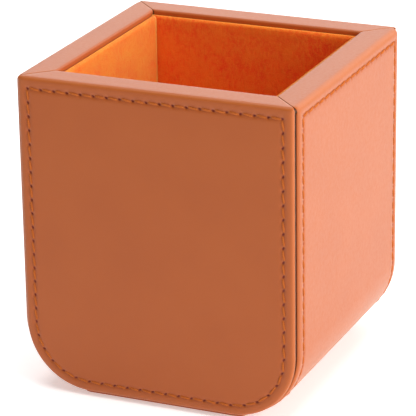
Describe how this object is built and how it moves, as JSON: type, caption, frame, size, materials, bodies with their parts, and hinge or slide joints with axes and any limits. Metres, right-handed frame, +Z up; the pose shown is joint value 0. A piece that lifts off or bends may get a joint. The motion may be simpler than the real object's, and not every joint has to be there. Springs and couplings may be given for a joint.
{
  "type": "pen holder cup",
  "caption": "Square desk pen cup with rounded lower corners, stitched leather covers over board walls, and a soft suede lining.",
  "frame": {"origin": "centre of the underside, on the surface that the cup stands on", "axes": "+Z up out of the opening; the front stitched panel faces -Y; +X is to the right seen from the front"},
  "size_m": [0.09, 0.088, 0.1],
  "materials": {
    "cover_leather": "smooth satin, tan",
    "suede": "soft brushed suede, orange",
    "thread": "matte sewing thread, tan",
    "board": "raw fibreboard",
    "card": "raw grey card"
  },
  "bodies": {
    "root": {"front_cover": "cover_leather", "back_cover": "cover_leather", "wrap_cover": "cover_leather", "base_plate_cover": "cover_leather", "front_stitching": "thread", "back_stitching": "thread", "wrap_stitching": "thread", "front_stiffener": "card", "back_stiffener": "card", "wrap_stiffener": "card", "base_plate_card": "card", "front_board": "board", "back_board": "board", "left_board": "board", "right_board": "board", "base_board": "board", "lining_floor_card": "card", "lining_floor_suede": "suede", "lining_front_card": "card", "lining_front_suede": "suede", "lining_back_card": "card", "lining_back_suede": "suede", "lining_right_card": "card", "lining_right_suede": "suede", "lining_left_card": "card", "lining_left_suede": "suede"}
  },
  "joints": []
}
